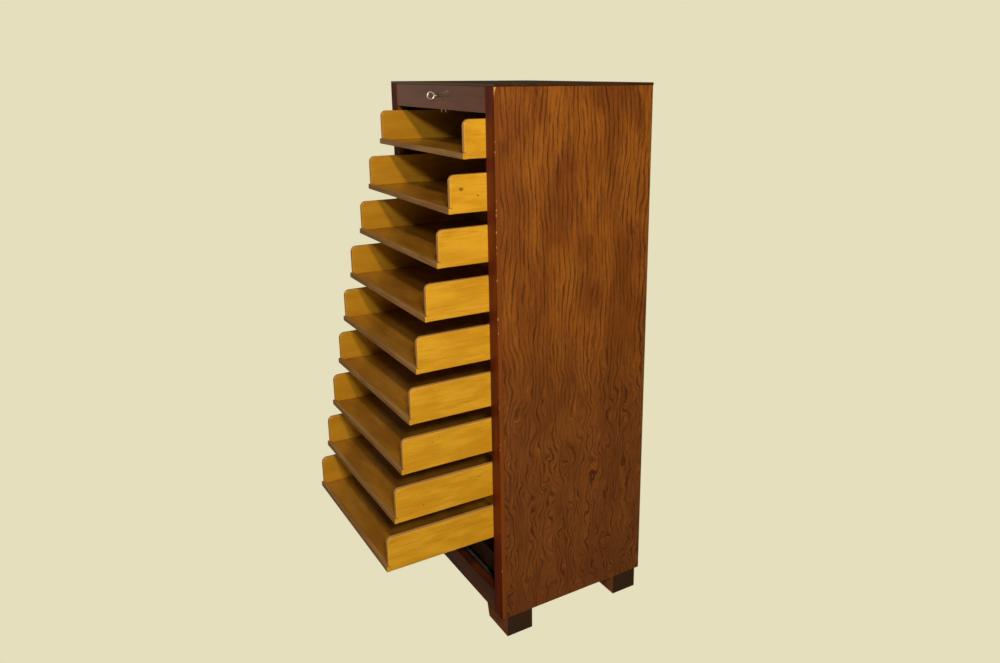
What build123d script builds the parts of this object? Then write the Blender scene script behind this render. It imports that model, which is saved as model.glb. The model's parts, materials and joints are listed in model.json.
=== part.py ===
"""Roll-front filing cabinet with nine open-front trays.

Millimetres, +Z up. The origin is on the floor under the middle of the carcass,
the front faces -Y and +X is to the right of someone facing the back wall.
"""

from build123d import *
import math
import os

os.makedirs("parts", exist_ok=True)

# ---- carcass ----
cabinet_width = 528.0
cabinet_depth = 395.0
cabinet_height = 1250.0
foot_height = 50.0
side_thickness = 37.0
lipping_depth = 10.0        # solid strip on the front edge of each side panel
cover_thickness = 6.0       # veneered top cover
cover_rear_overhang = 2.0
top_board_thickness = 18.0
rail_thickness = 20.0
top_rail_height = 51.0
bottom_rail_height = 53.0
bottom_cover_thickness = 3.0
back_thickness = 6.0
back_rebate = 20.0          # how far the back panel laps onto each side panel
housing_depth = 5.0         # tongues of the shelf and the top board in the side panels
false_back_thickness = 8.0
shelf_underside = 108.0
shelf_thickness = 10.0
sill_thickness = 18.0
sill_underside = 104.0
sill_height = 50.0

# ---- feet ----
foot_depth = 67.0
foot_top_width = 104.0
foot_bottom_width = 90.0
foot_setback = 12.0         # from the front and from the rear of the carcass

# ---- trays ----
tray_count = 9
tray_pitch = 107.5
lowest_tray_underside = 244.0
tray_depth = 325.0
tray_floor_thickness = 8.0
tray_wall_height = 70.0
tray_wall_thickness = 11.0
tray_wall_gap = 1.5         # between a tray's side board and the carcass opening
tray_back_height = 60.0
tray_lip_depth = 9.0
tray_lip_height = 12.0      # stands a little above the floor
tray_lip_chamfer = 1.0
tray_board_setback = 4.0    # side boards stand this far behind the lip's front face
tray_floor_rebate = 5.5     # how far the floor reaches under each side board
tray_corner_radius = 13.0
tray_slip_length = 40.0     # slips of wood at the rear run in the side grooves
tray_tongue = 6.0           # how far a slip reaches into its groove
tray_groove_clearance = 0.5
tray_groove_end_gap = 1.0
tray_closed_setback = 38.0  # front of a closed tray behind the front of the carcass
tray_back_gap = 2.0
tray_out = [51.0, 86.0, 115.0, 146.0, 170.0, 190.0, 212.0, 233.0, 256.0]

# ---- roll-front shutter ----
slot_width = 16.0           # between the bottom rail and the sill
slat_thickness = 6.0
slat_width = 11.5
slat_pitch = 12.5
slat_chamfer = 1.6
canvas_thickness = 0.8
slat_tongue = 8.0           # how far a slat runs into each side groove
track_clearance = 0.8
track_bend_radius = 10.0    # of the canvas line
canvas_line_setback = 31.0  # canvas line of the front track behind the carcass front
rear_cavity = 16.0
lead_bar_thickness = 12.0
lead_bar_height = 19.0
lead_bar_park_gap = 1.0     # above the front bend
canvas_tail = 0.5           # of the backing cloth above the front bend
closing_overlap = 8.0       # closed shutter runs this far behind the top rail

# ---- lock ----
lock_offset = 8.0           # to the right of the middle
lock_case_width = 48.0
lock_case_height = 38.0
lock_case_depth = 12.0
lock_case_wall = 1.5
lock_key_drop = 18.0        # key axis below the top of the lock case
lock_case_top_gap = 4.0     # between the lock case and the top cover
key_shank_radius = 2.2
key_hole_clearance = 0.4
key_ring_radius = 8.0
key_ring_wire = 1.5
key_ring_standoff = 17.5    # ring centre in front of the carcass
key_reach = 15.0            # shank end behind the front face
key_bit_drop = 7.0
key_bit_length = 4.0
key_bit_thickness = 1.8
insert_radius = 5.5
insert_proud = 0.4
insert_depth = 1.6
hook_spacing = 20.0
hook_width = 3.0
hook_depth = 4.0
hook_reach = 6.5            # below the top rail
hook_nib = 2.0
hook_travel = 3.0
hook_clearance = 0.5
hook_rise = 7.0             # into the lock case
hook_setback = 14.0         # hook centre line behind the front face

# ---- screws ----
foot_screw_radius = 2.5
foot_screw_head = 4.5
foot_screw_recess = 10.0
foot_screw_length = 62.0
foot_screw_spacing = 34.0
back_screw_radius = 1.8
back_screw_head = 3.6
back_screw_head_height = 2.0
back_screw_length = 24.0
back_screw_rows = 5
back_screw_end_distance = 70.0
screw_hole_clearance = 0.1

overcut = 1.0               # how far a cutter runs past the face that it opens

# ---- planes worked out from the sizes above ----
front_y = -cabinet_depth / 2
rear_y = cabinet_depth / 2
outer_x = cabinet_width / 2
inner_x = outer_x - side_thickness
cover_underside = cabinet_height - cover_thickness
top_rail_underside = cover_underside - top_rail_height
bottom_rail_top = foot_height + bottom_rail_height
top_board_underside = cover_underside - top_board_thickness
back_front_y = rear_y - back_thickness
false_back_rear_y = back_front_y - rear_cavity
false_back_front_y = false_back_rear_y - false_back_thickness
sill_front_y = front_y + rail_thickness + slot_width
shelf_top = shelf_underside + shelf_thickness
track_depth = slat_tongue + track_clearance
canvas_front_y = front_y + canvas_line_setback
canvas_rear_y = back_front_y - 2 * track_clearance - slat_thickness
canvas_run_z = foot_height + bottom_cover_thickness + 2 * track_clearance + slat_thickness
track_straight_z = canvas_run_z + track_bend_radius
lock_case_top = cover_underside - lock_case_top_gap
lock_case_underside = lock_case_top - lock_case_height
key_z = lock_case_top - lock_key_drop
key_hole_radius = key_shank_radius + key_hole_clearance
lock_front_y = front_y + rail_thickness - lock_case_depth
hook_y = front_y + hook_setback
slats_in_curtain = math.ceil(
    (top_rail_underside + closing_overlap - bottom_rail_top) / slat_pitch
)


def board(x0, x1, y0, y1, z0, z1):
    """Rectangular board between two corners."""
    middle = ((x0 + x1) / 2, (y0 + y1) / 2, (z0 + z1) / 2)
    return Pos(*middle) * Box(x1 - x0, y1 - y0, z1 - z0)


def rod(radius, start, end):
    """Round bar from one point to another."""
    run = Vector(*end) - Vector(*start)
    return extrude(Plane(origin=start, z_dir=run) * Circle(radius), run.length)


def mirrored_pair(shape):
    """The shape and its mirror image across the middle of the cabinet."""
    return [shape, mirror(shape, Plane.YZ)]


def save(node, shape):
    """Write one node, a single solid or a list of separate solids."""
    if isinstance(shape, (list, ShapeList)):
        shape = Compound(children=list(shape))
    export_step(shape, "parts/" + node + ".step")


# ---- shutter track ----

def track_band(inside, outside, front_top, rear_top):
    """Outline between two offsets of the canvas line, in the YZ plane.

    The line runs down the front, under the shelf and up behind the false back.
    """
    inner_radius = track_bend_radius - inside
    outer_radius = track_bend_radius + outside
    front_centre_y = canvas_front_y + track_bend_radius
    rear_centre_y = canvas_rear_y - track_bend_radius
    slant = math.sqrt(0.5)

    def around(centre_y, radius, side):
        return [
            (centre_y + side * radius, track_straight_z),
            (centre_y + side * radius * slant, track_straight_z - radius * slant),
            (centre_y, track_straight_z - radius),
        ]

    outer_front = around(front_centre_y, outer_radius, -1)
    outer_rear = around(rear_centre_y, outer_radius, 1)
    inner_front = around(front_centre_y, inner_radius, -1)
    inner_rear = around(rear_centre_y, inner_radius, 1)
    corners = {
        "outer_front_top": (canvas_front_y - outside, front_top),
        "outer_rear_top": (canvas_rear_y + outside, rear_top),
        "inner_front_top": (canvas_front_y + inside, front_top),
        "inner_rear_top": (canvas_rear_y - inside, rear_top),
    }
    with BuildSketch(Plane.YZ) as band:
        with BuildLine():
            Line(corners["outer_front_top"], outer_front[0])
            ThreePointArc(*outer_front)
            Line(outer_front[2], outer_rear[2])
            ThreePointArc(*reversed(outer_rear))
            Line(outer_rear[0], corners["outer_rear_top"])
            Line(corners["outer_rear_top"], corners["inner_rear_top"])
            Line(corners["inner_rear_top"], inner_rear[0])
            ThreePointArc(*inner_rear)
            Line(inner_rear[2], inner_front[2])
            ThreePointArc(*reversed(inner_front))
            Line(inner_front[0], corners["inner_front_top"])
            Line(corners["inner_front_top"], corners["outer_front_top"])
        make_face()
    return band.sketch


def curtain_place(distance):
    """Point on the canvas line and its direction, a distance along from the front bend."""
    quarter = track_bend_radius * math.pi / 2
    run = canvas_rear_y - canvas_front_y - 2 * track_bend_radius
    if distance < quarter:
        turn = distance / track_bend_radius
        y = canvas_front_y + track_bend_radius * (1 - math.cos(turn))
        z = track_straight_z - track_bend_radius * math.sin(turn)
        return y, z, math.degrees(turn) - 90
    distance -= quarter
    if distance < run:
        return canvas_front_y + track_bend_radius + distance, canvas_run_z, 0.0
    distance -= run
    if distance < quarter:
        turn = distance / track_bend_radius
        y = canvas_rear_y - track_bend_radius * (1 - math.sin(turn))
        z = track_straight_z - track_bend_radius * math.cos(turn)
        return y, z, math.degrees(turn)
    return canvas_rear_y, track_straight_z + distance - quarter, 90.0


curtain_length = slats_in_curtain * slat_pitch
curtain_rear_top = curtain_place(curtain_length)[1]
track_rear_top = curtain_rear_top + slat_pitch


def shutter_groove():
    """Cutter for the groove that guides the slats, for the right side panel."""
    band = track_band(
        canvas_thickness + track_clearance,
        slat_thickness + track_clearance,
        cover_underside,
        track_rear_top,
    )
    return Pos(inner_x, 0, 0) * extrude(band, track_depth, dir=(1, 0, 0))


def make_slats():
    """Stored slats, flat on the canvas and chamfered on their show side."""
    half = slat_width / 2
    profile = Polygon(
        (-half, 0),
        (half, 0),
        (half, -slat_thickness + slat_chamfer),
        (half - slat_chamfer, -slat_thickness),
        (-half + slat_chamfer, -slat_thickness),
        (-half, -slat_thickness + slat_chamfer),
        align=None,
    )
    length = 2 * (inner_x + slat_tongue)
    flat = Pos(-length / 2, 0, 0) * extrude(Plane.YZ * profile, length, dir=(1, 0, 0))
    slats = []
    for number in range(slats_in_curtain):
        y, z, angle = curtain_place((number + 0.5) * slat_pitch)
        slats.append(Pos(0, y, z) * Rot(angle, 0, 0) * flat)
    return slats


def make_canvas():
    """Backing cloth glued to the inner side of the stored slats."""
    width = 2 * (inner_x - track_clearance)
    band = track_band(canvas_thickness, 0, track_straight_z + canvas_tail, curtain_rear_top)
    return Pos(-width / 2, 0, 0) * extrude(band, width, dir=(1, 0, 0))


def make_lead_bar():
    """Stiff bottom bar of the shutter, parked low in its slot, with two strikes on top."""
    bottom = track_straight_z + lead_bar_park_gap
    top = bottom + lead_bar_height
    middle_y = front_y + rail_thickness + slot_width / 2
    half = inner_x - track_clearance
    half_thickness = lead_bar_thickness / 2
    bar = board(-half, half, middle_y - half_thickness, middle_y + half_thickness, bottom, top)
    upper_edges = bar.edges().filter_by(Axis.X).group_by(Axis.Z)[-1]
    bar = chamfer(upper_edges, slat_chamfer)
    reach = inner_x + slat_tongue
    bar += board(
        -reach, reach,
        canvas_front_y - slat_thickness, canvas_front_y, bottom, top - 2 * slat_chamfer,
    )
    for side in (-1, 1):
        strike_x = lock_offset + side * hook_spacing / 2
        half_strike = hook_width / 2 + hook_travel + hook_clearance
        bar -= board(
            strike_x - half_strike, strike_x + half_strike,
            middle_y - hook_depth / 2 - hook_clearance, middle_y + hook_depth / 2 + hook_clearance,
            top - hook_reach - hook_clearance, top + overcut,
        )
    return bar


# ---- trays ----

def tray_underside(number):
    """Underside of a tray, counted from 1 at the top."""
    return lowest_tray_underside + (tray_count - number) * tray_pitch


def tray_grooves():
    """Cutters for the tray grooves in the right side panel."""
    grooves = []
    for number in range(1, tray_count + 1):
        bottom = tray_underside(number) - tray_groove_clearance
        top = tray_underside(number) + tray_floor_thickness + tray_groove_clearance
        reach = inner_x + tray_tongue + tray_groove_end_gap
        rear = front_y + tray_closed_setback + tray_depth + tray_back_gap / 2
        grooves.append(board(inner_x - overcut, reach, front_y, rear, bottom, top))
    return grooves


def make_tray(number):
    """Floor, lip, side boards with their slips, and back board of one tray, pulled out."""
    tray_front = front_y - tray_out[number - 1]
    tray_rear = tray_front + tray_depth
    bottom = tray_underside(number)
    floor_top = bottom + tray_floor_thickness
    wall_outer = inner_x - tray_wall_gap
    wall_inner = wall_outer - tray_wall_thickness
    half_floor = wall_inner + tray_floor_rebate
    floor = board(
        -half_floor, half_floor, tray_front + tray_lip_depth, tray_rear, bottom, floor_top
    )
    lip_rear = tray_front + tray_lip_depth
    lip_top = bottom + tray_lip_height
    lip = board(-wall_outer, wall_outer, tray_front, lip_rear, bottom, lip_top)
    lip = chamfer(lip.edges().filter_by(Axis.X).group_by(Axis.Z)[-1], tray_lip_chamfer)
    wall = board(
        wall_inner, wall_outer,
        tray_front + tray_board_setback, tray_rear,
        bottom, floor_top + tray_wall_height,
    )
    front_top_edge = wall.edges().filter_by(Axis.X).group_by(Axis.Z)[-1].sort_by(Axis.Y)[0]
    wall = fillet(front_top_edge, tray_corner_radius)
    wall -= board(
        wall_inner - overcut, wall_outer + overcut,
        tray_front, lip_rear, bottom - overcut, lip_top,
    )
    wall -= board(
        wall_inner - overcut, half_floor,
        tray_front, tray_rear + overcut, bottom - overcut, floor_top,
    )
    wall -= board(
        wall_inner - overcut, wall_outer + overcut,
        tray_rear - tray_slip_length, tray_rear + overcut, bottom - overcut, floor_top,
    )
    slip = board(
        half_floor, inner_x + tray_tongue,
        tray_rear - tray_slip_length, tray_rear, bottom, floor_top,
    )
    back = board(
        -wall_inner, wall_inner,
        tray_rear - tray_wall_thickness, tray_rear,
        floor_top, floor_top + tray_back_height,
    )
    name = "tray_" + str(number) + "_"
    save(name + "floor", floor)
    save(name + "lip", lip)
    save(name + "sides", mirrored_pair(wall) + mirrored_pair(slip))
    save(name + "back", back)


# ---- screws ----

def screw(radius, head_radius, head_height, length):
    """Countersunk wood screw along +Z, with its head's flat face at the origin."""
    shank = Pos(0, 0, length / 2) * Cylinder(radius, length)
    head = Pos(0, 0, head_height / 2) * Cone(head_radius, radius, head_height)
    return head + shank


def foot_screw_places():
    """Places of the screws in the right feet, front foot then rear foot."""
    x = outer_x - side_thickness / 2
    places = []
    for middle in (front_y + foot_setback + foot_depth / 2, rear_y - foot_setback - foot_depth / 2):
        for side in (-1, 1):
            places.append(Pos(x, middle + side * foot_screw_spacing / 2, foot_screw_recess))
    return places


def back_screw_places():
    """Places of the screws down the right edge of the back panel."""
    x = inner_x + (track_depth + back_rebate) / 2
    low = foot_height + back_screw_end_distance
    step = (cover_underside - back_screw_end_distance - low) / (back_screw_rows - 1)
    return [
        Pos(x, rear_y, low + row * step) * Rot(90, 0, 0)
        for row in range(back_screw_rows)
    ]


def foot_screw(extra=0.0):
    head_height = foot_screw_head - foot_screw_radius
    return screw(foot_screw_radius + extra, foot_screw_head + extra, head_height, foot_screw_length)


def back_screw(extra=0.0):
    return screw(
        back_screw_radius + extra, back_screw_head + extra, back_screw_head_height, back_screw_length
    )


# ---- carcass pieces ----

def make_side_panel():
    """Right side panel with its grooves, housings and rebate."""
    panel = board(inner_x, outer_x, front_y + lipping_depth, rear_y, foot_height, cover_underside)
    for groove in tray_grooves():
        panel -= groove
    panel -= shutter_groove()
    panel -= board(
        inner_x - overcut, inner_x + back_rebate,
        back_front_y, rear_y + overcut, foot_height - overcut, cabinet_height,
    )
    panel -= board(
        inner_x - overcut, inner_x + housing_depth,
        sill_front_y + sill_thickness, false_back_front_y, shelf_underside, shelf_top,
    )
    panel -= board(
        inner_x - overcut, inner_x + housing_depth,
        sill_front_y, back_front_y, top_board_underside, cabinet_height,
    )
    for place in foot_screw_places():
        panel -= place * foot_screw(screw_hole_clearance)
    for place in back_screw_places():
        panel -= place * back_screw(screw_hole_clearance)
    return panel


def make_lipping():
    """Solid strip on the front edge of the right side panel, over the ends of the grooves."""
    return board(inner_x, outer_x, front_y, front_y + lipping_depth, foot_height, cover_underside)


def make_foot(rear):
    """Right foot, a block that narrows downwards on its inner side."""
    outline = Polygon(
        (outer_x, 0),
        (outer_x, foot_height),
        (outer_x - foot_top_width, foot_height),
        (outer_x - foot_bottom_width, 0),
        align=None,
    )
    start = rear_y - foot_setback - foot_depth if rear else front_y + foot_setback
    foot = Pos(0, start, 0) * extrude(Plane.XZ * outline, foot_depth, dir=(0, 1, 0))
    for place in foot_screw_places():
        foot -= place * foot_screw(screw_hole_clearance)
        foot -= place * Pos(0, 0, -foot_screw_recess / 2) * Cylinder(
            foot_screw_head + screw_hole_clearance, foot_screw_recess
        )
    return foot


def along_key(radius, start_y, end_y):
    """Round bar on the key's axis."""
    return rod(radius, (lock_offset, start_y, key_z), (lock_offset, end_y, key_z))


def hook_passage(side, bottom, top):
    """Clear space that one hook bolt needs to move sideways, side -1 left or 1 right."""
    middle = lock_offset + side * hook_spacing / 2
    near = middle - side * (hook_width / 2 + hook_clearance)
    far = middle + side * (hook_width / 2 + hook_nib + hook_travel + hook_clearance)
    low, high = sorted((near, far))
    half_depth = hook_depth / 2 + hook_clearance
    return board(low, high, hook_y - half_depth, hook_y + half_depth, bottom, top)


def make_top_rail():
    """Rail over the opening, mortised from behind for the lock."""
    rear = front_y + rail_thickness
    rail = board(-inner_x, inner_x, front_y, rear, top_rail_underside, cover_underside)
    rail -= board(
        lock_offset - lock_case_width / 2, lock_offset + lock_case_width / 2,
        lock_front_y, rear + overcut, lock_case_underside, lock_case_top,
    )
    rail -= along_key(key_hole_radius, front_y - overcut, lock_front_y + overcut)
    rail -= along_key(insert_radius, front_y - overcut, front_y + insert_depth)
    for side in (-1, 1):
        rail -= hook_passage(side, top_rail_underside - overcut, lock_case_underside + overcut)
    return rail


def make_keyhole_insert():
    """Turned bush that lines the keyhole."""
    bush = along_key(insert_radius, front_y - insert_proud, front_y + insert_depth)
    return bush - along_key(key_hole_radius, front_y - overcut, front_y + insert_depth + overcut)


def make_lock_case():
    """Sheet-metal case of the lock, hollow, with slots below for the hook bolts."""
    left = lock_offset - lock_case_width / 2
    right = lock_offset + lock_case_width / 2
    back = front_y + rail_thickness
    case = board(left, right, lock_front_y, back, lock_case_underside, lock_case_top)
    case -= board(
        left + lock_case_wall, right - lock_case_wall,
        lock_front_y + lock_case_wall, back - lock_case_wall,
        lock_case_underside + lock_case_wall, lock_case_top - lock_case_wall,
    )
    case -= along_key(
        key_hole_radius, lock_front_y - overcut, lock_front_y + lock_case_wall + overcut
    )
    floor_top = lock_case_underside + lock_case_wall
    for side in (-1, 1):
        case -= hook_passage(side, lock_case_underside - overcut, floor_top + overcut)
    return case


def make_hook(side):
    """Hook bolt that hangs out of the lock, side -1 left or 1 right."""
    middle = lock_offset + side * hook_spacing / 2
    bottom = top_rail_underside - hook_reach
    top = lock_case_underside + lock_case_wall + hook_rise
    stem = board(
        middle - hook_width / 2, middle + hook_width / 2,
        hook_y - hook_depth / 2, hook_y + hook_depth / 2, bottom, top,
    )
    near, far = sorted((middle, middle + side * (hook_width / 2 + hook_nib)))
    nib = board(near, far, hook_y - hook_depth / 2, hook_y + hook_depth / 2, bottom, bottom + hook_nib)
    return stem + nib


def make_key():
    """Key with a ring bow, its shank in the lock and its bit hanging down."""
    ring_y = front_y - key_ring_standoff
    ring = Pos(lock_offset, ring_y, key_z) * Rot(0, 90, 0) * Torus(key_ring_radius, key_ring_wire)
    end_y = front_y + key_reach
    shank = along_key(key_shank_radius, ring_y + key_ring_radius, end_y)
    bit = board(
        lock_offset - key_bit_thickness / 2, lock_offset + key_bit_thickness / 2,
        end_y - key_bit_length, end_y, key_z - key_bit_drop, key_z,
    )
    return ring + shank + bit


def make_back_panel():
    """Thin panel let into the rebates of the side panels."""
    half = inner_x + back_rebate
    panel = board(-half, half, back_front_y, rear_y, foot_height, cover_underside)
    for place in back_screw_places():
        hole = place * back_screw(screw_hole_clearance)
        panel -= hole
        panel -= mirror(hole, Plane.YZ)
    return panel


side = make_side_panel()
save("side_panel_right", side)
save("side_panel_left", mirror(side, Plane.YZ))
lipping = make_lipping()
save("front_lipping_right", lipping)
save("front_lipping_left", mirror(lipping, Plane.YZ))

save("top_cover", board(
    -outer_x, outer_x, front_y, rear_y + cover_rear_overhang, cover_underside, cabinet_height
))
save("top_board", board(
    -inner_x - housing_depth, inner_x + housing_depth,
    sill_front_y, back_front_y, top_board_underside, cover_underside,
))
save("top_rail", make_top_rail())
save("bottom_rail", board(
    -inner_x, inner_x, front_y, front_y + rail_thickness, foot_height, bottom_rail_top
))
save("bottom_cover", board(
    -inner_x, inner_x, front_y + rail_thickness, back_front_y,
    foot_height, foot_height + bottom_cover_thickness,
))
save("inner_sill", board(
    -inner_x, inner_x, sill_front_y, sill_front_y + sill_thickness,
    sill_underside, sill_underside + sill_height,
))
save("bottom_shelf", board(
    -inner_x - housing_depth, inner_x + housing_depth,
    sill_front_y + sill_thickness, false_back_front_y, shelf_underside, shelf_top,
))
save("false_back", board(
    -inner_x, inner_x, false_back_front_y, false_back_rear_y, shelf_underside, top_board_underside
))
save("back_panel", make_back_panel())
save("feet", mirrored_pair(make_foot(rear=False)) + mirrored_pair(make_foot(rear=True)))

save("shutter_lead_bar", make_lead_bar())
save("shutter_slats", make_slats())
save("shutter_canvas", make_canvas())

save("lock_case", make_lock_case())
save("keyhole_insert", make_keyhole_insert())
save("key", make_key())
save("lock_hook_left", make_hook(-1))
save("lock_hook_right", make_hook(1))

foot_screws = []
for place in foot_screw_places():
    foot_screws += mirrored_pair(place * foot_screw())
save("foot_screws", foot_screws)
back_screws = []
for place in back_screw_places():
    back_screws += mirrored_pair(place * back_screw())
save("back_screws", back_screws)

for number in range(1, tray_count + 1):
    make_tray(number)
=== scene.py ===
import json
import math
import random

import bmesh
import bpy
from mathutils import Matrix, Vector


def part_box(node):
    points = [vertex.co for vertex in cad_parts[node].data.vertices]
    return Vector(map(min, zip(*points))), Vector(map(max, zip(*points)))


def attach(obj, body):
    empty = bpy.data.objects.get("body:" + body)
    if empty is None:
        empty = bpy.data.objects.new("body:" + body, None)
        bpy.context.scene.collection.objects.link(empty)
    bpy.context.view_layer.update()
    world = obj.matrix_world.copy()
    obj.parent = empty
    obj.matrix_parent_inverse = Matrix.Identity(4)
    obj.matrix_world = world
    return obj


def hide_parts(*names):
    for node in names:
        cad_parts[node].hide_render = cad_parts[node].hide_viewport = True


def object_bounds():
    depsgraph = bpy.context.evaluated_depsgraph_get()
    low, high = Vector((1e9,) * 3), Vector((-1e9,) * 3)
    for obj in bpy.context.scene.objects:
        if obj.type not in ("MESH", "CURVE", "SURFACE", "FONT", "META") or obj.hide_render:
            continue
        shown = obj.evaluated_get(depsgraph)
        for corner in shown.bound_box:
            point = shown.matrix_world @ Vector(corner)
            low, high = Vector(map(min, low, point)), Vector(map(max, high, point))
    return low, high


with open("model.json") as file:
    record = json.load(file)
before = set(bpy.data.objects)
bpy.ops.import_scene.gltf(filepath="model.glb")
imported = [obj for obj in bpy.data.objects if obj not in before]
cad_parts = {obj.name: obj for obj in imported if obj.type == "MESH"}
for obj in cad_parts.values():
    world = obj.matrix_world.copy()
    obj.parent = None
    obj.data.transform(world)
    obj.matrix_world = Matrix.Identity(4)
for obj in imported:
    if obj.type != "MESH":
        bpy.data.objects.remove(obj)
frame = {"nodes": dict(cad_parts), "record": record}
cadLow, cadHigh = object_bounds()
nodes = frame["nodes"]
behaviour = frame["record"]["behaviour"]
bodyOfNode = {name: body for body, names in behaviour["bodies"].items() for name in names}
trayNumbers = range(1, 1 + sum(body.startswith("tray_") for body in behaviour["bodies"]))
mm = 0.001
print("frame loaded:", len(nodes), "nodes")


# Camera, a little above the middle of the cabinet and to its right

cameraSetup = {
    "place": (1.699, -0.977, 1.2716),
    "tilt": 74.986,
    "turn": 57.699,
    "lens": 29.47,
    "sensor": 36.0,
    "shift": (-0.0496, -0.0399),
}


def makeCamera():
    data = bpy.data.cameras.new("camera")
    data.lens = cameraSetup["lens"]
    data.sensor_width = cameraSetup["sensor"]
    data.shift_x, data.shift_y = cameraSetup["shift"]
    data.clip_start = 0.05
    data.clip_end = 100.0
    camera = bpy.data.objects.new("camera", data)
    camera.location = cameraSetup["place"]
    camera.rotation_euler = (math.radians(cameraSetup["tilt"]), 0.0, math.radians(cameraSetup["turn"]))
    bpy.context.scene.collection.objects.link(camera)
    bpy.context.scene.camera = camera


makeCamera()
print("camera placed")


# Nodes and colours

def toLinear(colour):
    channels = [int(colour[i:i + 2], 16) / 255 for i in (1, 3, 5)]
    return tuple(c / 12.92 if c <= 0.04045 else ((c + 0.055) / 1.055) ** 2.4 for c in channels) + (1.0,)


def addNode(tree, kind, inputs=None, **settings):
    node = tree.nodes.new(kind)
    for name, value in settings.items():
        setattr(node, name, value)
    for key, value in (inputs or {}).items():
        if isinstance(value, bpy.types.NodeSocket):
            tree.links.new(value, node.inputs[key])
        else:
            node.inputs[key].default_value = value
    return node


def startMaterial(name, inputs):
    material = bpy.data.materials.new(name)
    material.use_nodes = True
    tree = material.node_tree
    tree.nodes.clear()
    shader = addNode(tree, "ShaderNodeBsdfPrincipled", inputs)
    addNode(tree, "ShaderNodeOutputMaterial", {"Surface": shader.outputs["BSDF"]})
    place = addNode(tree, "ShaderNodeTexCoord").outputs["Object"]
    return material, tree, shader, place


# A stretched noise: threads of one width across, one length along an axis, in millimetres
def threads(tree, place, run, across, along, detail=3.0, roughness=0.55):
    scale = [1000 / across] * 3
    scale["xyz".index(run)] = 1000 / along
    mapping = addNode(tree, "ShaderNodeMapping", {"Vector": place, "Scale": scale})
    noise = addNode(tree, "ShaderNodeTexNoise", {
        "Vector": mapping.outputs["Vector"], "Scale": 1.0, "Detail": detail, "Roughness": roughness,
    })
    return noise.outputs["Fac"]


# Lays a colour over another where a pattern goes from low to high, up to a share
def stain(tree, under, over, pattern, low, high, share=1.0):
    under, over = (toLinear(one) if isinstance(one, str) else one for one in (under, over))
    amount = addNode(tree, "ShaderNodeMapRange", {
        "Value": pattern, "From Min": low, "From Max": high, "To Max": share,
    }, interpolation_type="SMOOTHSTEP")
    mix = addNode(tree, "ShaderNodeMix", {0: amount.outputs["Result"], 6: under, 7: over}, data_type="RGBA")
    return mix.outputs[2]


# Colours a surface and raises its pattern by a depth in millimetres
def dress(tree, shader, colour, height, depth, strength=1.0):
    bump = addNode(tree, "ShaderNodeBump", {"Height": height, "Distance": depth * mm, "Strength": strength})
    tree.links.new(colour, shader.inputs["Base Color"])
    tree.links.new(bump.outputs["Normal"], shader.inputs["Normal"])


# 1 on faces that look along the axis, 0 on faces that lie along it
def sideways(tree, axis):
    normal = addNode(tree, "ShaderNodeTexCoord").outputs["Normal"]
    split = addNode(tree, "ShaderNodeSeparateXYZ", {"Vector": normal})
    size = addNode(tree, "ShaderNodeMath", {0: split.outputs["XYZ".index(axis)]}, operation="ABSOLUTE")
    return addNode(tree, "ShaderNodeMapRange", {
        "Value": size.outputs[0], "From Min": 0.55, "From Max": 0.9,
    }, interpolation_type="SMOOTHSTEP").outputs["Result"]


# Oak veneer peeled round the log, stained and lacquered: wild dark streaks in warm brown, satin

veneerFinish = {
    "light": "#9c5c19",
    "mid": "#7f450d",
    "dark": "#452006",
    "redTone": "#70360d",
    # painted shade: darker colour for the lower part of the side panels
    "low": "#6f3f1f",
    "fleck": "#b06a2a",
    "streakAcross": 3.0,
    "streakAlong": 52.0,
    "ringSpacing": 11.0,
    "poreAcross": 1.5,     # real pores are 0.3 wide, drawn wider so that they show
    "poreAlong": 15.0,
    "slowSwing": 26.0,
    "tightSwing": (6.0, 30.0),
    "waveStarts": (0.85, 0.35),
    "knots": [(45.0, 352.0, 24.0), (-120.0, 610.0, 9.0)],
}


def partRoundKnot(tree, place, wave, knot):
    # The grain lines are pushed aside by a knot and close again beyond it
    y, z, radius = (size * mm for size in knot)
    offset = addNode(tree, "ShaderNodeVectorMath", {0: place, 1: (0.0, y, z)}, operation="SUBTRACT")
    scaled = addNode(tree, "ShaderNodeVectorMath", {
        0: offset.outputs[0], 1: (0.0, 1 / radius, 0.5 / radius),
    }, operation="MULTIPLY")
    away = addNode(tree, "ShaderNodeVectorMath", {0: scaled.outputs[0]}, operation="LENGTH")
    push = addNode(tree, "ShaderNodeMapRange", {
        "Value": away.outputs["Value"], "From Min": 0.2, "From Max": 2.4,
        "To Min": radius * 0.9, "To Max": 0.0,
    }, interpolation_type="SMOOTHSTEP")
    split = addNode(tree, "ShaderNodeSeparateXYZ", {"Vector": scaled.outputs[0]})
    side = addNode(tree, "ShaderNodeMath", {0: split.outputs["Y"]}, operation="SINE")
    shift = addNode(tree, "ShaderNodeMath", {0: side.outputs[0], 1: push.outputs["Result"]},
                    operation="MULTIPLY")
    return addNode(tree, "ShaderNodeMath", {0: wave, 1: shift.outputs[0]}, operation="SUBTRACT").outputs[0]


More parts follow.
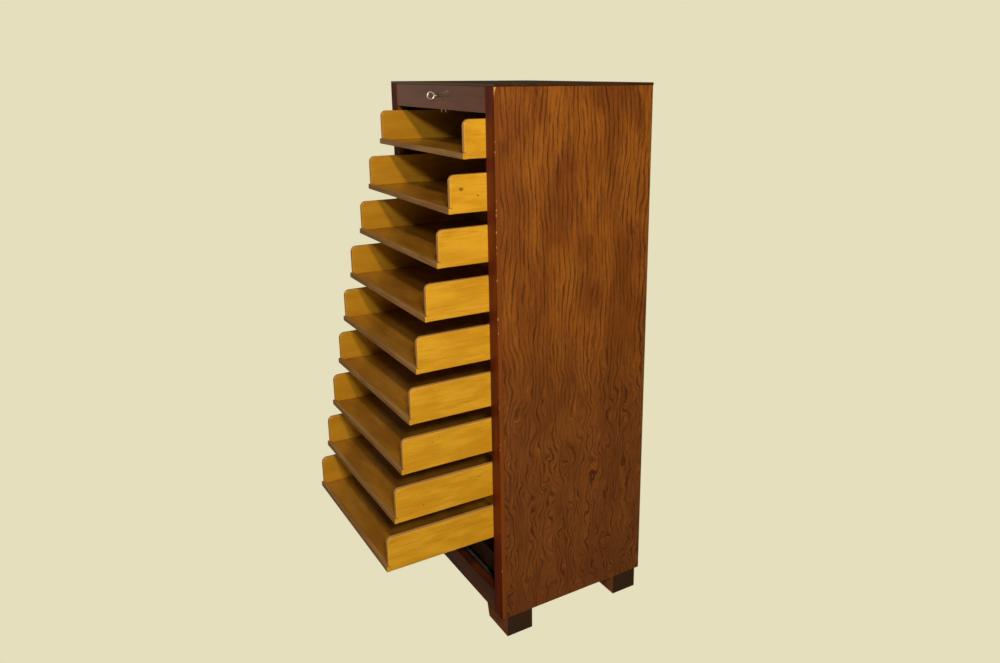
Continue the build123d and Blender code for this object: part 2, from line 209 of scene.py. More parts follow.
def makeVeneer():
    f = veneerFinish
    material, tree, shader, place = startMaterial("stainedOakVeneer", {
        "Roughness": 0.42, "IOR": 1.5, "Coat Weight": 0.22, "Coat Roughness": 0.3,
    })
    split = addNode(tree, "ShaderNodeSeparateXYZ", {"Vector": place})
    low = addNode(tree, "ShaderNodeMapRange", {
        "Value": split.outputs["Z"], "From Min": f["waveStarts"][1], "From Max": f["waveStarts"][0],
        "To Min": 1.0, "To Max": 0.0,
    }, interpolation_type="SMOOTHSTEP").outputs["Result"]

    # The grain lines swing to and fro across the panel, more tightly lower down
    reach = addNode(tree, "ShaderNodeMapRange", {
        "Value": low, "To Min": f["tightSwing"][0] * mm * 2, "To Max": f["tightSwing"][1] * mm * 2,
    }, interpolation_type="SMOOTHSTEP").outputs["Result"]
    wave = 0.0
    slowReach = f["slowSwing"] * mm * 2
    for across, along, detail, swing in ((130.0, 260.0, 1.0, slowReach), (38.0, 62.0, 1.5, reach)):
        noise = threads(tree, place, "z", across, along, detail)
        centred = addNode(tree, "ShaderNodeMath", {0: noise, 1: 0.5}, operation="SUBTRACT")
        wave = addNode(tree, "ShaderNodeMath", {0: centred.outputs[0], 1: swing, 2: wave},
                       operation="MULTIPLY_ADD").outputs[0]
    for knot in f["knots"]:
        wave = partRoundKnot(tree, place, wave, knot)
    across = addNode(tree, "ShaderNodeMath", {0: split.outputs["Y"], 1: wave}, operation="ADD").outputs[0]
    grainPlace = addNode(tree, "ShaderNodeCombineXYZ", {
        "X": split.outputs["X"], "Y": across, "Z": split.outputs["Z"],
    }).outputs["Vector"]

    # Growth rings, frayed by the streaks and broken up along their length
    streak = threads(tree, grainPlace, "z", f["streakAcross"], f["streakAlong"], 3.0, 0.6)
    frayed = addNode(tree, "ShaderNodeMath", {0: streak, 1: 5.0}, operation="MULTIPLY")
    turn = addNode(tree, "ShaderNodeMath", {
        0: across, 1: 2 * math.pi / (f["ringSpacing"] * mm), 2: frayed.outputs[0],
    }, operation="MULTIPLY_ADD")
    ring = addNode(tree, "ShaderNodeMath", {0: turn.outputs[0]}, operation="SINE")
    ringShare = addNode(tree, "ShaderNodeMapRange", {
        "Value": ring.outputs[0], "From Min": 0.25, "From Max": 0.95,
    }, interpolation_type="SMOOTHSTEP")
    broken = addNode(tree, "ShaderNodeMapRange", {
        "Value": threads(tree, grainPlace, "z", 7.0, 90.0, 2.0), "From Min": 0.36, "From Max": 0.6,
        "To Min": 0.15, "To Max": 0.8,
    }, interpolation_type="SMOOTHSTEP")
    line = addNode(tree, "ShaderNodeMath", {
        0: ringShare.outputs["Result"], 1: broken.outputs["Result"],
    }, operation="MULTIPLY")

    pore = threads(tree, grainPlace, "z", f["poreAcross"], f["poreAlong"], 1.0)
    ground = stain(tree, f["mid"], f["light"], threads(tree, place, "z", 60.0, 210.0, 2.0), 0.35, 0.65)
    ground = stain(tree, ground, f["redTone"], threads(tree, place, "z", 100.0, 150.0, 1.0), 0.5, 0.72, 0.6)
    # Painted shade: the colour darkens towards the bottom of the panel, standing in for the light falling off
    # there
    ground = stain(tree, ground, f["low"], low, 0.0, 1.0, 0.6)
    lined = addNode(tree, "ShaderNodeMix", {0: line.outputs[0], 6: ground, 7: toLinear(f["dark"])},
                    data_type="RGBA")
    colour = stain(tree, lined.outputs[2], f["dark"], streak, 0.52, 0.66, 0.55)
    colour = stain(tree, colour, f["fleck"], streak, 0.42, 0.3, 0.4)
    colour = stain(tree, colour, f["dark"], pore, 0.56, 0.7, 0.5)
    sunk = addNode(tree, "ShaderNodeMath", {0: streak, 1: -1.0}, operation="MULTIPLY")
    dress(tree, shader, colour, sunk.outputs[0], 0.15, 0.5)
    return material


# Hardwood rails and lippings, stained dark and lacquered glossy: thin even grain under a clear coat

frontFinish = {
    "rail": ("#64290c", "#381405"),
    "lipping": ("#70290d", "#401405"),
    "inside": ("#3a1c11", "#22100a"),
    "sideFace": "#82481b",
    "bareWood": "#cfa673",
    "bareShade": "#a67a48",
}


def startFrontWood(name, run, part, coat):
    light, dark = frontFinish[part]
    material, tree, shader, place = startMaterial(name, {
        "Roughness": 0.5, "IOR": 1.5, "Coat Weight": coat, "Coat Roughness": 0.16,
    })
    streak = threads(tree, place, run, 2.6, 90.0, 4.0)
    colour = stain(tree, light, dark, threads(tree, place, run, 30.0, 260.0, 2.0), 0.35, 0.65, 0.7)
    colour = stain(tree, colour, dark, streak, 0.5, 0.75, 0.7)
    dress(tree, shader, colour, streak, 0.1, 0.4)
    return material, tree, shader, place, colour


def makeFrontWood(name, run, part, coat):
    return startFrontWood(name, run, part, coat)[0]


def makeLippingWood():
    # The strip's side face is as light as the panel, and its edge is rubbed through in spots
    f = frontFinish
    material, tree, shader, place, colour = startFrontWood("lippingWood", "z", "lipping", 0.06)
    shader.inputs["Coat Roughness"].default_value = 0.35
    shader.inputs["IOR"].default_value = 1.28
    share = addNode(tree, "ShaderNodeMath", {0: sideways(tree, "X"), 1: 0.8}, operation="MULTIPLY")
    sided = addNode(tree, "ShaderNodeMix", {0: share.outputs[0], 6: colour, 7: toLinear(f["sideFace"])},
                    data_type="RGBA")
    split = addNode(tree, "ShaderNodeSeparateXYZ", {"Vector": place})
    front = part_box("front_lipping_right")[0].y
    outward = addNode(tree, "ShaderNodeMath", {0: split.outputs["X"]}, operation="ABSOLUTE").outputs[0]
    spots = threads(tree, place, "z", 5.0, 9.0, 2.0)
    worn = 1.0
    for pattern, low, high in (
        (outward, cadHigh.x - 2.2 * mm, cadHigh.x - 0.4 * mm),
        (split.outputs["Y"], front + 3.0 * mm, front + 0.3 * mm),
        (spots, 0.64, 0.7),
    ):
        part = addNode(tree, "ShaderNodeMapRange", {"Value": pattern, "From Min": low, "From Max": high},
                       interpolation_type="SMOOTHSTEP")
        worn = addNode(tree, "ShaderNodeMath", {0: part.outputs["Result"], 1: worn},
                       operation="MULTIPLY").outputs[0]
    rubbed = addNode(tree, "ShaderNodeMix", {0: worn, 6: sided.outputs[2], 7: toLinear(f["bareWood"])},
                     data_type="RGBA")
    tree.links.new(rubbed.outputs[2], shader.inputs["Base Color"])
    return material


def makeBareWood():
    # Bare hardwood where a corner is chipped: pale, dry and dull
    material, tree, shader, place = startMaterial("bareWood", {"Roughness": 0.8, "IOR": 1.45})
    grain = threads(tree, place, "z", 1.2, 14.0)
    colour = stain(tree, frontFinish["bareWood"], frontFinish["bareShade"], grain, 0.4, 0.6)
    dress(tree, shader, colour, grain, 0.3)
    return material


# Veneered top, stained darker than the sides, satin from wiping

def makeTopVeneer():
    material, tree, shader, place = startMaterial("darkTopVeneer", {
        "Roughness": 0.4, "IOR": 1.5, "Coat Weight": 0.35, "Coat Roughness": 0.25,
    })
    streak = threads(tree, place, "x", 3.2, 80.0, 4.0)
    ground = stain(tree, "#4a2812", "#3a1d0d", threads(tree, place, "x", 60.0, 300.0, 2.0), 0.35, 0.65)
    dress(tree, shader, stain(tree, ground, "#251107", streak, 0.5, 0.74, 0.8), streak, 0.12, 0.4)
    return material


# Birch plywood left raw inside and behind: dull brown with flat long grain

def makePlywood(name, run, light, dark):
    material, tree, shader, place = startMaterial(name, {"Roughness": 0.72, "IOR": 1.45})
    streak = threads(tree, place, run, 5.0, 140.0, 4.0)
    ground = stain(tree, light, dark, threads(tree, place, run, 90.0, 260.0, 2.0), 0.3, 0.7)
    dress(tree, shader, stain(tree, ground, dark, streak, 0.46, 0.72, 0.75), streak, 0.15, 0.5)
    return material


# Solid block feet under dark floor polish: long grain on the front, darker end grain at the sides

def makeFootWood():
    material, tree, shader, place = startMaterial("darkBlockWood", {
        "Roughness": 0.55, "IOR": 1.5, "Coat Weight": 0.2, "Coat Roughness": 0.35,
    })
    streak = threads(tree, place, "x", 2.4, 60.0, 4.0)
    face = stain(tree, "#9c5426", "#552a13", streak, 0.42, 0.68)
    end = stain(tree, "#402815", "#26160c", threads(tree, place, "x", 1.6, 30.0, 3.0), 0.4, 0.62)
    colour = addNode(tree, "ShaderNodeMix", {0: sideways(tree, "X"), 6: face, 7: end}, data_type="RGBA")
    dress(tree, shader, colour.outputs[2], streak, 0.25, 0.6)
    return material


# Beech boards under yellowed clear lacquer: golden, very fine grain and short flecks, paler and pinker end
# and edge faces

beechFinish = {
    "light": "#e2ae2c",
    "mid": "#d09a1a",
    "dark": "#ae7812",
    # paler, pinker colour of the boards' end and edge faces
    "rim": "#d0a060",
    "fleck": "#945c14",
    "knot": "#742d10",
    # painted shade colour for the left boards, which get less light
    "darkPlank": "#9c6a08",
    # tray, from its front, below the top of the board, half length, half height
    "marks": [
        (2, 25.0, 29.0, 6.5, 4.2), (2, 62.0, 44.0, 4.0, 1.6), (7, 68.0, 20.0, 1.6, 1.6),
        (7, 84.0, 12.0, 1.2, 1.2), (7, 96.0, 18.0, 1.2, 1.0), (8, 62.0, 52.0, 2.2, 1.8),
        (8, 196.0, 22.0, 9.0, 0.9), (9, 24.0, 36.0, 6.0, 1.0),
    ],
    "markReach": 40.0,
}


def markBoard(tree, place, colour, mark):
    # A knot or dark fleck on the outside of a right board, or on the inside of the ninth tray's left one
    number, back, down, halfLength, halfHeight = mark
    low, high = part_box("tray_%d_sides" % number)
    side = high.x if number < 9 else low.x
    centre = (side, low.y + back * mm, high.z - down * mm)
    size = [1 / (half * mm) for half in (beechFinish["markReach"], halfLength, halfHeight)]
    offset = addNode(tree, "ShaderNodeVectorMath", {0: place, 1: centre}, operation="SUBTRACT")
    scaled = addNode(tree, "ShaderNodeVectorMath", {0: offset.outputs[0], 1: size}, operation="MULTIPLY")
    reach = addNode(tree, "ShaderNodeVectorMath", {0: scaled.outputs[0]}, operation="LENGTH")
    return stain(tree, colour, beechFinish["knot"], reach.outputs["Value"], 1.15, 0.35, 0.85)


def makeBoardWood(name, run, withMarksAndLeftShade):
    f = beechFinish
    material, tree, shader, place = startMaterial(name, {
        "Roughness": 0.4, "IOR": 1.5, "Coat Weight": 0.3, "Coat Roughness": 0.22,
    })
    grain = threads(tree, place, run, 2.2, 70.0, 4.0)
    colour = stain(tree, f["mid"], f["light"], threads(tree, place, run, 26.0, 90.0, 2.0), 0.32, 0.68)
    colour = stain(tree, colour, f["dark"], grain, 0.48, 0.74, 0.5)
    colour = stain(tree, colour, f["fleck"], threads(tree, place, run, 1.3, 5.0, 2.0), 0.62, 0.74, 0.35)
    # Knots and flecks are real marks; the darkening of the left boards is painted shade
    if withMarksAndLeftShade:
        # Painted shade: the left boards are made darker, standing in for the weaker light that reaches them
        split = addNode(tree, "ShaderNodeSeparateXYZ", {"Vector": place})
        colour = stain(tree, colour, f["darkPlank"], split.outputs["X"], 0.05, -0.05, 0.55)
        for mark in f["marks"]:
            colour = markBoard(tree, place, colour, mark)
    broad = sideways(tree, "X" if run == "y" else "Y")
    # End and edge faces get the paler rim colour, broad faces the golden one
    rimmed = addNode(tree, "ShaderNodeMix", {0: broad, 6: toLinear(f["rim"]), 7: colour}, data_type="RGBA")
    dress(tree, shader, rimmed.outputs[2], grain, 0.06, 0.4)
    return material


# Tray floors of brown hardboard, oiled to a sheen, and their beech lips

def makeFloorBoard():
    material, tree, shader, place = startMaterial("oiledHardboard", {
        "Roughness": 0.38, "IOR": 1.5, "Coat Weight": 0.45, "Coat Roughness": 0.24,
    })
    fibre = threads(tree, place, "x", 1.2, 2.6, 2.0)
    ground = stain(tree, "#b9842b", "#9c6a20", threads(tree, place, "x", 45.0, 150.0, 2.0), 0.32, 0.68)
    ground = stain(tree, ground, "#7d5116", threads(tree, place, "x", 2.4, 80.0, 4.0), 0.48, 0.74, 0.5)
    dress(tree, shader, stain(tree, ground, "#523310", fibre, 0.55, 0.75, 0.3), fibre, 0.05, 0.4)
    return material


def makeLipWood():
    material, tree, shader, place = startMaterial("beechEdging", {
        "Roughness": 0.5, "IOR": 1.5, "Coat Weight": 0.2, "Coat Roughness": 0.3,
    })
    grain = threads(tree, place, "x", 1.8, 60.0, 4.0)
    ground = stain(tree, "#b28b5a", "#9a7141", threads(tree, place, "x", 12.0, 110.0, 2.0), 0.35, 0.65)
    dress(tree, shader, stain(tree, ground, "#7c5429", grain, 0.48, 0.72, 0.6), grain, 0.08, 0.4)
    return material


# Plain-woven canvas behind the shutter slats

canvasThread = 1.6     # real threads are 0.5 apart, drawn coarser


def makeCanvas():
    material, tree, shader, place = startMaterial("plainCanvas", {"Roughness": 0.9, "Sheen Weight": 0.2})
    split = addNode(tree, "ShaderNodeSeparateXYZ", {"Vector": place})
    along = addNode(tree, "ShaderNodeMath", {0: split.outputs["Y"], 1: split.outputs["Z"]}, operation="ADD")
    waves = []
    for run in (split.outputs["X"], along.outputs[0]):
        turn = addNode(tree, "ShaderNodeMath", {0: run, 1: 2 * math.pi / (canvasThread * mm)},
                       operation="MULTIPLY")
        waves.append(addNode(tree, "ShaderNodeMath", {0: turn.outputs[0]}, operation="SINE").outputs[0])
    weave = addNode(tree, "ShaderNodeMath", {0: waves[0], 1: waves[1]}, operation="MULTIPLY").outputs[0]
    dress(tree, shader, stain(tree, "#3d3324", "#5c4f36", weave, -1.0, 1.0), weave, 0.3, 0.6)
    return material


# Pressed and cut steel of lock case and screws, dull with age; nickel-plated key; brown brass bush

def makeMetal(name, colour, worn, roughness, across):
    material, tree, shader, place = startMaterial(name, {"Metallic": 1.0})
    patch = threads(tree, place, "y", across, across * 1.6, 3.0)
    duller = addNode(tree, "ShaderNodeMapRange", {
        "Value": patch, "From Min": 0.3, "From Max": 0.7, "To Min": roughness, "To Max": roughness + 0.18,
    }, interpolation_type="SMOOTHSTEP")
    tree.links.new(stain(tree, colour, worn, patch, 0.45, 0.7), shader.inputs["Base Color"])
    tree.links.new(duller.outputs["Result"], shader.inputs["Roughness"])
    return material


materials = {
    "veneer": makeVeneer(),
    "lipping": makeLippingWood(),
    "bareWood": makeBareWood(),
    "rail": makeFrontWood("railWood", "x", "rail", 0.7),
    "topCover": makeTopVeneer(),
    "innerPly": makePlywood("innerPlywood", "x", "#6b4a2a", "#4a2f18"),
    # painted shade: inside faces of the side panels, darker than the other inside plywood
    "innerPanel": makePlywood("innerPanelWood", "z", "#3b2114", "#24130b"),
    "backPly": makePlywood("backPlywood", "z", "#6e4727", "#4c2d17"),
    "foot": makeFootWood(),
    "sideBoard": makeBoardWood("lacqueredBeechSides", "y", True),
    "backBoard": makeBoardWood("lacqueredBeechBacks", "x", False),
    "trayFloor": makeFloorBoard(),
    "trayLip": makeLipWood(),
    "slat": makeFrontWood("slatWood", "x", "inside", 0.2),
    "canvas": makeCanvas(),
    "steel": makeMetal("dullSteel", "#8d8a84", "#5d564d", 0.42, 6.0),
    "nickel": makeMetal("nickelPlate", "#f1efea", "#cfcbc2", 0.3, 4.0),
    "brass": makeMetal("agedBrass", "#8f6b3a", "#4d3820", 0.4, 3.0),
}
print("materials made:", len(materials))


# Pieces

def finishPiece(name, bm, material, nodeNames, body=None):
    mesh = bpy.data.meshes.new(name)
    bm.to_mesh(mesh)
    bm.free()
    for one in material if isinstance(material, list) else [material]:
        mesh.materials.append(one)
    piece = bpy.data.objects.new(name, mesh)
    bpy.context.scene.collection.objects.link(piece)
    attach(piece, body or bodyOfNode[nodeNames[0]])
    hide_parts(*nodeNames)
    return piece


def cleanCopy(nodeName):
    bm = bmesh.new()
    bm.from_mesh(nodes[nodeName].data)
    bmesh.ops.remove_doubles(bm, verts=bm.verts, dist=0.01 * mm)
    bmesh.ops.dissolve_limit(bm, angle_limit=math.radians(1.0), verts=bm.verts, edges=bm.edges,
                             use_dissolve_boundaries=False)
    for face in bm.faces:
        face.smooth = True
    for edge in bm.edges:
        edge.smooth = edge.is_manifold and edge.calc_face_angle(0.0) < math.radians(25.0)
    return bm


def easeEdges(piece, width, segments=2):
    # Rounds every hard edge the way sandpaper does
    ease = piece.modifiers.new("easedEdges", "BEVEL")
    ease.width = width * mm
    ease.segments = segments
    ease.limit_method = "ANGLE"
    ease.angle_limit = math.radians(35.0)
    ease.harden_normals = True


def easedPiece(nodeName, pieceName, material, width):
    piece = finishPiece(pieceName, cleanCopy(nodeName), material, [nodeName])
    easeEdges(piece, width)
    return piece


def camel(nodeName):
    first, *rest = nodeName.split("_")
    return first + "".join(word.capitalize() for word in rest)


def makeSidePanel(side, outward):
    # Veneered outside and on the edges; the inside faces get a much darker wood colour, painted shade for the
    # dark inside of the cabinet
    nodeName = "side_panel_" + side
    bm = cleanCopy(nodeName)
    for face in bm.faces:
        face.material_index = int(face.normal.x * outward < -0.9)
    piece = finishPiece(camel(nodeName), bm, [materials["veneer"], materials["innerPanel"]], [nodeName])
    easeEdges(piece, 0.5)


makeSidePanel("left", -1)
makeSidePanel("right", 1)

carcassEasing = {
    "front_lipping_left": ("lipping", 0.8), "top_cover": ("topCover", 1.0),
    "top_board": ("innerPly", 0.5), "top_rail": ("rail", 0.8), "bottom_rail": ("rail", 1.0),
    "bottom_cover": ("innerPly", 0.4), "inner_sill": ("slat", 1.0), "bottom_shelf": ("innerPly", 0.5),
    "false_back": ("innerPly", 0.5), "back_panel": ("backPly", 0.5), "feet": ("foot", 1.5),
    "shutter_lead_bar": ("slat", 0.5), "lock_case": ("steel", 0.3),
    "lock_hook_left": ("nickel", 0.3), "lock_hook_right": ("nickel", 0.3),
}
for nodeName, (finish, width) in carcassEasing.items():
    easedPiece(nodeName, camel(nodeName), materials[finish], width)


# Right lipping, with the corner chipped off at the top

chip = {"depth": 1.6, "back": 5.0, "down": 15.0}


def makeChippedLipping():
    bm = cleanCopy("front_lipping_right")
    low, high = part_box("front_lipping_right")
    corner = Vector((high.x, low.y, high.z))
    reach = [corner + Vector((-chip["depth"] * mm, 0, 0)), corner + Vector((0, chip["back"] * mm, 0)),
             corner + Vector((0, 0, -chip["down"] * mm))]
    normal = (reach[1] - reach[0]).cross(reach[2] - reach[0]).normalized()
    if normal.dot(corner - reach[0]) < 0:
        normal.negate()
    cut = bmesh.ops.bisect_plane(bm, geom=bm.verts[:] + bm.edges[:] + bm.faces[:], plane_co=reach[0],
                                 plane_no=normal, clear_outer=True)
    rim = [item for item in cut["geom_cut"] if isinstance(item, bmesh.types.BMEdge)]
    facet = bmesh.ops.holes_fill(bm, edges=rim)["faces"]
    for face in facet:
        face.material_index = 1
        face.smooth = False
    for edge in rim:
        edge.smooth = False
    piece = finishPiece("frontLippingRight", bm, [materials["lipping"], materials["bareWood"]],
                        ["front_lipping_right"])
    easeEdges(piece, 0.8)


makeChippedLipping()
print("carcass made")


# Trays: boards with paler end and edge faces, hardboard floors, beech lips

trayEasing = {"sides": ("sideBoard", 1.6), "back": ("backBoard", 1.2), "floor": ("trayFloor", 0.4)}


def makeTray(number):
    stem = "tray_%d_" % number
    for part, (finish, width) in trayEasing.items():
        easedPiece(stem + part, camel(stem + part), materials[finish], width)
    # The lip's end faces get the boards' colour
    bm = cleanCopy(stem + "lip")
    for face in bm.faces:
        face.material_index = int(abs(face.normal.x) > 0.9)
    lip = finishPiece(camel(stem + "lip"), bm, [materials["trayLip"], materials["sideBoard"]], [stem + "lip"])
    easeEdges(lip, 0.7)


for number in trayNumbers:
    makeTray(number)
print("trays made:", len(trayNumbers))


# Key: ring bow, turned neck and shank, with a bit at the end

keySizes = {
    "ringRadius": 7.8, "wire": 1.7, "ringSteps": 48, "wireSteps": 16,
    # turned profile: distance behind the ring's outer edge, radius
    "turning": [(-1.0, 0.0), (-1.0, 2.4), (0.5, 3.0), (1.6, 3.0), (2.6, 2.0), (4.2, 1.9), (5.0, 2.7),
                (5.8, 2.7), (6.4, 2.2), (24.3, 2.2), (24.9, 1.6), (24.9, 0.0)],
    "bit": (1.8, 4.0, 5.6), "bitDrop": 1.4,
}


def makeKey():
    low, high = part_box("key")
    axis = (low + high) / 2
    axis.y = low.y + (keySizes["ringRadius"] + keySizes["wire"]) * mm
    bm = bmesh.new()
    wireCentre = axis + Vector((0, keySizes["ringRadius"] * mm, 0))
    ring = bmesh.ops.create_circle(bm, radius=keySizes["wire"] * mm, segments=keySizes["wireSteps"],
                                   matrix=Matrix.Translation(wireCentre))
    bmesh.ops.spin(bm, geom=ring["verts"] + bm.edges[:], cent=axis, axis=(1, 0, 0), angle=2 * math.pi,
                   steps=keySizes["ringSteps"], use_merge=True)
    profile = [bm.verts.new(wireCentre + Vector((0, back * mm, radius * mm)))
               for back, radius in keySizes["turning"]]
    line = [bm.edges.new(pair) for pair in zip(profile, profile[1:])]
    bmesh.ops.spin(bm, geom=profile + line, cent=axis, axis=(0, 1, 0), angle=2 * math.pi, steps=24,
                   use_merge=True)
    width, length, height = (size * mm for size in keySizes["bit"])
    place = Vector((axis.x, high.y - length / 2, axis.z - height / 2 - keySizes["bitDrop"] * mm))
    shape = Matrix.Translation(place) @ Matrix.Diagonal((width, length, height, 1))
    bit = bmesh.ops.create_cube(bm, size=1.0, matrix=shape)
    bitEdges = list({edge for vert in bit["verts"] for edge in vert.link_edges})
    bmesh.ops.bevel(bm, geom=bitEdges, offset=0.3 * mm, segments=2, profile=0.5, affect="EDGES", material=-1)
    bmesh.ops.remove_doubles(bm, verts=bm.verts, dist=0.001 * mm)
    bmesh.ops.recalc_face_normals(bm, faces=bm.faces)
    for face in bm.faces:
        face.smooth = True
    for edge in bm.edges:
        edge.smooth = edge.is_manifold and edge.calc_face_angle(0.0) < math.radians(40.0)
    finishPiece("key", bm, materials["nickel"], ["key"])


makeKey()


# Keyhole bush, turned, with a rounded rim

bushSizes = {"inner": 2.6, "rimRound": 0.5}


def makeBush():
    low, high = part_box("keyhole_insert")
    middle = (low + high) / 2
    outer = (high.x - low.x) / 2
    inner = bushSizes["inner"] * mm
    bm = bmesh.new()
    corners = [(low.y, inner), (low.y, outer), (high.y, outer), (high.y, inner)]
    profile = [bm.verts.new((middle.x, y, middle.z + radius)) for y, radius in corners]
    loop = [bm.edges.new(pair) for pair in zip(profile, profile[1:] + profile[:1])]
    bmesh.ops.spin(bm, geom=profile + loop, cent=middle, axis=(0, 1, 0), angle=2 * math.pi, steps=40,
                   use_merge=True)
    bmesh.ops.recalc_face_normals(bm, faces=bm.faces)
    rim = [edge for edge in bm.edges if all(abs(v.co.y - low.y) < 1e-6 for v in edge.verts)]
    bmesh.ops.bevel(bm, geom=rim, offset=bushSizes["rimRound"] * 0.5 * mm, segments=2, profile=0.5,
                    affect="EDGES", material=-1)
    finishPiece("keyholeInsert", bm, materials["brass"], ["keyhole_insert"])


makeBush()
print("lock made")


# Slotted countersunk screws, one for each in the frame

screwSizes = {"steps": 20, "slotWidth": 1.1, "slotDepth": 1.0}


def screwPlaces(nodeName):
    bm = bmesh.new()
    bm.from_mesh(nodes[nodeName].data)
    bmesh.ops.remove_doubles(bm, verts=bm.verts, dist=0.01 * mm)
    waiting = set(bm.verts)
    boxes = []
    while waiting:
        island, edge = set(), [waiting.pop()]
        while edge:
            vert = edge.pop()
            island.add(vert)
            for link in vert.link_edges:
                other = link.other_vert(vert)
                if other in waiting:
                    waiting.remove(other)
                    edge.append(other)
        points = [v.co for v in island]
        boxes.append([Vector(min(p[i] for p in points) for i in range(3)),
                      Vector(max(p[i] for p in points) for i in range(3))])
    bm.free()
    return sorted(boxes, key=lambda box: tuple(round(v, 4) for v in box[0]))


def addScrew(bm, head, direction, length, headRadius, shankRadius, headHeight, turn):
    # profile along +Z from the head's flat face, then turned to its direction
    slot = screwSizes["slotWidth"] * mm / 2
    depth = screwSizes["slotDepth"] * mm
    start = len(bm.verts)
    points = [(0.0, 0.0), (headRadius, 0.0), (shankRadius, headHeight), (shankRadius, length * 0.85),
              (0.0, length)]
    profile = [bm.verts.new((radius, 0, z)) for radius, z in points]
    line = [bm.edges.new(pair) for pair in zip(profile, profile[1:])]
    bmesh.ops.spin(bm, geom=profile + line, cent=(0, 0, 0), axis=(0, 0, 1), angle=2 * math.pi,
                   steps=screwSizes["steps"], use_merge=True)
    bm.verts.ensure_lookup_table()
    mine = bm.verts[start:]
    bmesh.ops.remove_doubles(bm, verts=mine, dist=0.001 * mm)
    bm.verts.ensure_lookup_table()
    mine = bm.verts[start:]
    for side in (-1, 1):
        geom = mine + list({e for v in mine for e in v.link_edges})
        geom += list({f for v in mine for f in v.link_faces})
        bmesh.ops.bisect_plane(bm, geom=geom, plane_co=(side * slot, 0, 0), plane_no=(1, 0, 0))
        bm.verts.ensure_lookup_table()
        mine = bm.verts[start:]
    floor = [f for f in {f for v in mine for f in v.link_faces}
             if abs(f.calc_center_median().x) < slot and all(abs(v.co.z) < 1e-7 for v in f.verts)]
    sunk = bmesh.ops.extrude_face_region(bm, geom=floor)
    bmesh.ops.delete(bm, geom=floor, context="FACES_ONLY")
    sunkVerts = [item for item in sunk["geom"] if isinstance(item, bmesh.types.BMVert)]
    bmesh.ops.translate(bm, verts=sunkVerts, vec=(0, 0, depth))
    bm.verts.ensure_lookup_table()
    mine = bm.verts[start:]
    spinTurn = Matrix.Rotation(turn, 4, "Z")
    toDirection = Vector(direction).to_track_quat("Z", "Y").to_matrix().to_4x4()
    bmesh.ops.transform(bm, verts=mine, matrix=Matrix.Translation(head) @ toDirection @ spinTurn)


def makeScrews(nodeName, axis, headRadius, shankRadius, headHeight, seed):
    chance = random.Random(seed)
    bm = bmesh.new()
    for low, high in screwPlaces(nodeName):
        middle = (low + high) / 2
        if axis == "z":
            head, direction, length = Vector((middle.x, middle.y, low.z)), (0, 0, 1), high.z - low.z
        else:
            head, direction, length = Vector((middle.x, high.y, middle.z)), (0, -1, 0), high.y - low.y
        addScrew(bm, head, direction, length, headRadius * mm, shankRadius * mm, headHeight * mm,
                 chance.uniform(0, math.pi))
    bmesh.ops.recalc_face_normals(bm, faces=bm.faces)
    finishPiece(camel(nodeName), bm, materials["steel"], [nodeName])


makeScrews("foot_screws", "z", 4.5, 2.5, 2.0, 4)
makeScrews("back_screws", "y", 3.6, 1.8, 2.0, 7)
print("screws made")

for nodeName, finish in {"shutter_slats": "slat", "shutter_canvas": "canvas"}.items():
    data = nodes[nodeName]
    if not data.material_slots:
        raise SystemExit("no material slot on " + nodeName)
    for slot in data.material_slots:
        slot.material = materials[finish]


# Studio: pale floor, two lamps from the front right, soft fills and a pale panel at the left

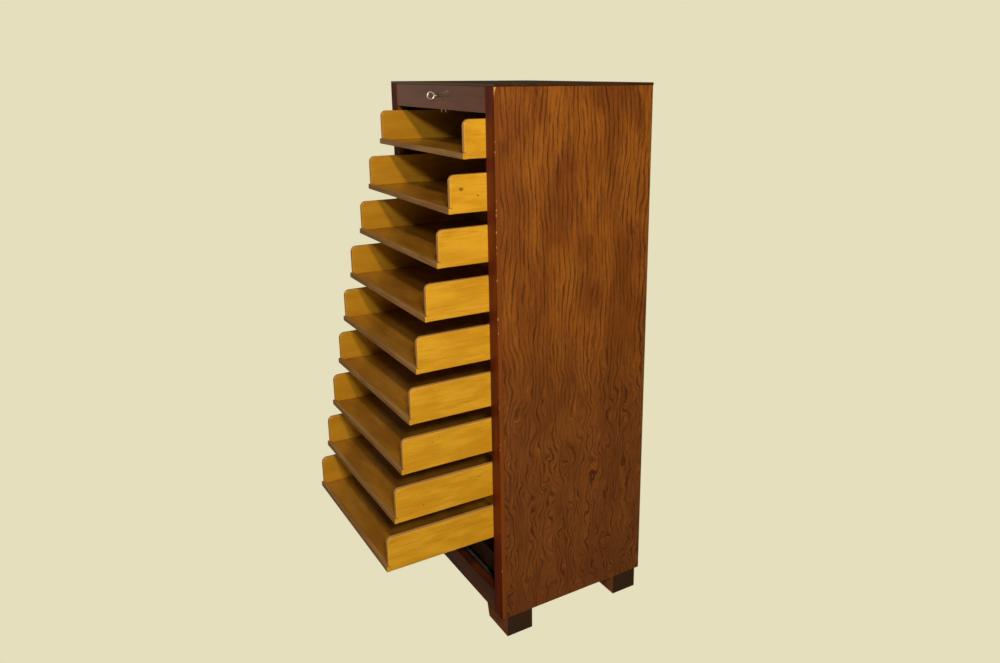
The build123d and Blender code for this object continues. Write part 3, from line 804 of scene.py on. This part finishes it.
studio = {
    "ground": "#e5dfbd",
    "floorRadius": 30.0,
    "glow": 1.0,
    # name: place, target, size, power, colour
    "lamps": {
        "lowLamp": ((2.25, -1.02, 1.73), (0.0, -0.2, 0.7), 0.18, 23.0, "#fbf3d8"),
        "highLamp": ((2.25, -1.13, 2.56), (0.1, -0.1, 0.7), 0.18, 42.0, "#ffe6b4"),
        "fillLamp": ((2.9, -0.8, 0.35), (0.2, -0.1, 0.35), 1.2, 16.0, "#ffe2b0"),
        "panel": ((-2.2, -1.25, 1.5), (0.0, -0.2, 1.15), 1.5, 3.0, "#f9cfb0"),
        "frontFill": ((0.5, -2.4, 0.2), (0.0, -0.2, 0.2), 0.8, 6.0, "#ffe2b8"),
        "rearFill": ((-2.5, 2.2, 0.8), (0.0, 0.0, 0.6), 0.7, 36.0, "#fff0d8"),
    },
    "ambient": 0.08,
}


def makeStage():
    bm = bmesh.new()
    bmesh.ops.create_circle(bm, cap_ends=True, radius=studio["floorRadius"], segments=96)
    mesh = bpy.data.meshes.new("studioFloor")
    bm.to_mesh(mesh)
    bm.free()
    material = bpy.data.materials.new("studioFloor")
    material.use_nodes = True
    tree = material.node_tree
    tree.nodes.clear()
    ground = toLinear(studio["ground"])
    glow = addNode(tree, "ShaderNodeEmission", {"Color": ground, "Strength": studio["glow"]})
    addNode(tree, "ShaderNodeOutputMaterial", {"Surface": glow.outputs[0]})
    mesh.materials.append(material)
    floor = bpy.data.objects.new("studioFloor", mesh)
    floor.visible_diffuse = False
    floor.visible_glossy = False
    bpy.context.scene.collection.objects.link(floor)


def makeLamps():
    for name, (place, target, size, power, colour) in studio["lamps"].items():
        data = bpy.data.lights.new(name, "AREA")
        data.shape = "DISK"
        data.size = size
        data.energy = power
        data.color = toLinear(colour)[:3]
        lamp = bpy.data.objects.new(name, data)
        lamp.location = place
        lamp.rotation_euler = (Vector(target) - Vector(place)).to_track_quat("-Z", "Y").to_euler()
        lamp.visible_camera = False
        bpy.context.scene.collection.objects.link(lamp)


def makeWorld():
    # The camera sees the ground colour as far as it looks, and everything else gets a dim warm room
    world = bpy.data.worlds.new("room")
    world.use_nodes = True
    tree = world.node_tree
    tree.nodes.clear()
    ground = toLinear(studio["ground"])
    seen = addNode(tree, "ShaderNodeBackground", {"Color": ground, "Strength": studio["glow"]})
    room = addNode(tree, "ShaderNodeBackground", {"Color": ground, "Strength": studio["ambient"]})
    ray = addNode(tree, "ShaderNodeLightPath")
    both = addNode(tree, "ShaderNodeMixShader", {
        0: ray.outputs["Is Camera Ray"], 1: room.outputs[0], 2: seen.outputs[0],
    })
    addNode(tree, "ShaderNodeOutputWorld", {"Surface": both.outputs[0]})
    bpy.context.scene.world = world


makeStage()
makeLamps()
makeWorld()
bpy.context.scene.view_settings.view_transform = "Standard"
print("studio lit")
